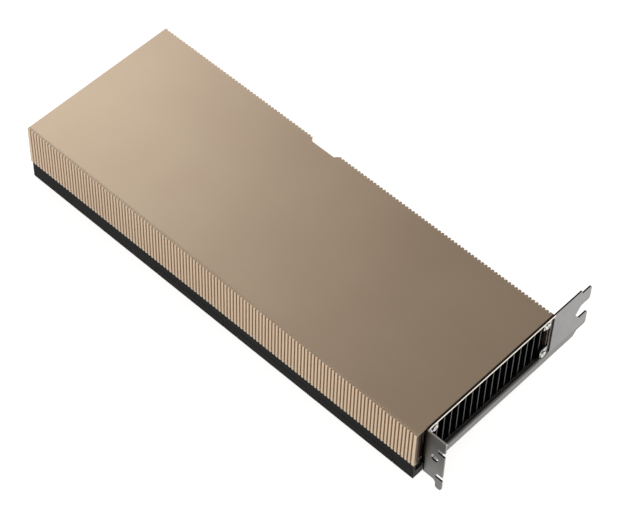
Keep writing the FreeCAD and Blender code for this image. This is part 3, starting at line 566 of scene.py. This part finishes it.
def recessCutter(name, top):
    # tapered cross that makes the drive recess
    spec = flatScrew
    mesh = bmesh.new()
    foot = (top - spec["driveDepth"], spec["driveFoot"])
    mouth = (top + spec["driveOver"], spec["driveMouth"])
    rings = []
    for level, share in (foot, mouth):
        reach, half = spec["drive"] / 2 * share, spec["driveWidth"] / 2 * share
        quarter = [Vector((half, half, 0)), Vector((half, reach, 0)), Vector((-half, reach, 0))]
        ring = []
        for turn in range(4):
            for corner in quarter:
                place = Matrix.Rotation(turn * math.pi / 2, 3, "Z") @ corner
                ring.append(mesh.verts.new((place.x, place.y, level)))
        rings.append(ring)
    low, high = rings
    mesh.faces.new(low[::-1])
    mesh.faces.new(high)
    for index in range(len(low)):
        after = (index + 1) % len(low)
        mesh.faces.new((low[index], low[after], high[after], high[index]))
    return asObject(name, mesh)


def screwHead(name, radius, height, depth):
    # one screw along +Z: head above its seat at 0, shank below, cross recess in the head
    spec = flatScrew
    rim = spec["rim"]
    profile = [(0.0, height)]
    profile += [(radius - rim * inwards, height - rim * down) for inwards, down in spec["rounding"]]
    profile += [(radius, 0.0), (spec["shank"], 0.0), (spec["shank"], -depth), (0.0, -depth)]
    mesh = bmesh.new()
    verts = [mesh.verts.new((across, 0.0, along)) for across, along in profile]
    edges = [mesh.edges.new(pair) for pair in zip(verts, verts[1:])]
    bmesh.ops.spin(mesh, geom=verts + edges, cent=(0, 0, 0), axis=(0, 0, 1),
                   angle=math.tau, steps=spec["around"])
    bmesh.ops.remove_doubles(mesh, verts=mesh.verts, dist=spec["weld"])
    solid = asObject(name, mesh)
    cutter = recessCutter(name + "Cutter", height)
    cut = solid.modifiers.new("recess", "BOOLEAN")
    cut.operation = "DIFFERENCE"
    cut.object = cutter
    cut.solver = "EXACT"
    bpy.context.view_layer.update()
    made = bpy.data.meshes.new_from_object(solid.evaluated_get(bpy.context.evaluated_depsgraph_get()))
    made.name = name
    for item in (solid, cutter):
        bpy.data.objects.remove(item)
    return made


def setScrews(node, radius, height, outwards, twist):
    # one screw at each corner of the node's box, its head on the outward side
    outwards = Vector(outwards)
    low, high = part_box(node)
    along = 0 if abs(outwards.x) > 0.5 else 2
    others = [axis for axis in range(3) if axis != along]
    seat = (high if outwards[along] > 0 else low)[along] - outwards[along] * height
    depth = high[along] - low[along] - height
    mesh = screwHead(node + "Head", radius, height, depth)
    mesh.materials.append(finishes[slotOf[node]])
    joined = bmesh.new()
    turn = outwards.to_track_quat("Z", "Y").to_matrix().to_4x4()
    for number in range(4):
        place = Vector((0.0, 0.0, 0.0))
        place[along] = seat
        place[others[0]] = (low[others[0]] + radius, high[others[0]] - radius)[number % 2]
        place[others[1]] = (low[others[1]] + radius, high[others[1]] - radius)[number // 2]
        one = mesh.copy()
        one.transform(Matrix.Translation(place) @ turn @ Matrix.Rotation(twist * (number + 1), 4, "Z"))
        joined.from_mesh(one)
        bpy.data.meshes.remove(one)
    joined.to_mesh(mesh)
    joined.free()
    piece = bpy.data.objects.new(node + "Visual", mesh)
    bpy.context.scene.collection.objects.link(piece)
    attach(piece, "root")
    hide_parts(node)


for node, values in screwSets.items():
    setScrews(node, **values)
print("screws made")


stage = {
    "floorSize": 6.0,
    "floorColor": (0.80, 0.80, 0.80),
    "floorRoughness": 0.9,
    "paper": (700.0, 2.0, 0.5),
    "paperBump": (0.05, 0.0001),
    "shadowFloor": 0.80,     # how pale the floor's shadow stays
    "worldLight": 0.30,
    "worldColor": (1.0, 0.93, 0.87),
    "white": (1.0, 1.0, 1.0),
}


def makeFloor():
    half = stage["floorSize"] / 2
    mesh = bpy.data.meshes.new("floor")
    corners = [(-half, -half, 0), (half, -half, 0), (half, half, 0), (-half, half, 0)]
    mesh.from_pydata(corners, [], [(0, 1, 2, 3)])
    floor = bpy.data.objects.new("floor", mesh)
    bpy.context.scene.collection.objects.link(floor)
    shader = Shader("floorPaper")
    shader.finish(
        baseColor=stage["floorColor"],
        roughness=stage["floorRoughness"],
        normal=shader.bump(shader.noise(*stage["paper"]), *stage["paperBump"]),
    )
    seen = shader.add("ShaderNodeLightPath", output="Is Camera Ray")
    mirrored = shader.add("ShaderNodeLightPath", output="Is Glossy Ray")
    through = shader.add("ShaderNodeLightPath", output="Is Transmission Ray")
    direct = (seen + mirrored + through) > 0.5
    paper = Value(shader, shader.surface.outputs[0])
    glow = shader.add("ShaderNodeEmission", {}, {
        "Color": stage["white"], "Strength": stage["shadowFloor"]})
    lit = shader.add("ShaderNodeAddShader", {}, {0: paper, 1: glow})
    shown = shader.add("ShaderNodeMixShader", {}, {0: direct, 1: paper, 2: lit})
    shader.feed(shader.tree.nodes["Material Output"].inputs["Surface"], shown)
    mesh.materials.append(shader.material)


def makeWorld():
    world = bpy.data.worlds.new("studio")
    bpy.context.scene.world = world
    nodes = Nodes(world)
    background = nodes.tree.nodes["Background"]
    seen = nodes.add("ShaderNodeLightPath", output="Is Camera Ray")
    nodes.feed(background.inputs["Color"], nodes.blend(seen, stage["worldColor"], stage["white"]))
    nodes.feed(background.inputs["Strength"], nodes.spread(seen, 0.0, 1.0, stage["worldLight"], 1.0))


lamps = {
    "backSoftbox": {"place": (-1.35, 0.62, 0.95), "aim": (-0.1, 0.0, 0.03), "size": (0.9, 1.4),
                    "power": 5.7, "color": (0.97, 1.0, 1.04)},
    "frontFill": {"place": (0.9, -1.3, 0.9), "aim": (0.0, 0.0, 0.02), "size": (1.0, 1.0),
                  "power": 3.0, "color": (0.97, 0.985, 1.0)},
    "sideLight": {"place": (0.35, -1.7, 0.5), "aim": (0.08, -0.05, 0.02), "size": (0.9, 0.5),
                  "power": 4.2, "color": (1.0, 0.99, 0.97)},
    "rimLight": {"place": (1.2, 0.9, 0.5), "aim": (0.12, 0.0, 0.02), "size": (0.4, 0.4),
                 "power": 1.5, "color": (1.0, 0.99, 0.97)},
}


def makeLamp(name, place, aim, size, power, color):
    light = bpy.data.lights.new(name, "AREA")
    light.shape = "RECTANGLE"
    light.size, light.size_y = size
    light.energy = power
    light.color = color
    lamp = bpy.data.objects.new(name, light)
    lamp.location = place
    lamp.rotation_euler = (Vector(aim) - Vector(place)).to_track_quat("-Z", "Y").to_euler()
    bpy.context.scene.collection.objects.link(lamp)


view = {
    "eye": (0.47499, -0.52673, 0.92025),
    "aim": (0.01059, -0.01151, 0.02),
    "roll": 2.0075,          # degrees
    "lens": 132.445,         # millimetres, as the sensor's width
    "sensor": 36.0,
    "farthest": 20.0,
}


def makeCamera():
    data = bpy.data.cameras.new("camera")
    data.lens = view["lens"]
    data.sensor_width = view["sensor"]
    data.clip_end = view["farthest"]
    camera = bpy.data.objects.new("camera", data)
    eye = Vector(view["eye"])
    turn = (Vector(view["aim"]) - eye).to_track_quat("-Z", "Y").to_matrix()
    turn = turn @ Matrix.Rotation(math.radians(view["roll"]), 3, "Z")
    camera.matrix_world = Matrix.Translation(eye) @ turn.to_4x4()
    bpy.context.scene.collection.objects.link(camera)
    bpy.context.scene.camera = camera


makeFloor()
makeWorld()
for name, values in lamps.items():
    makeLamp(name, **values)
makeCamera()
bpy.context.scene.view_settings.view_transform = "Standard"
print("stage, lights and camera made")
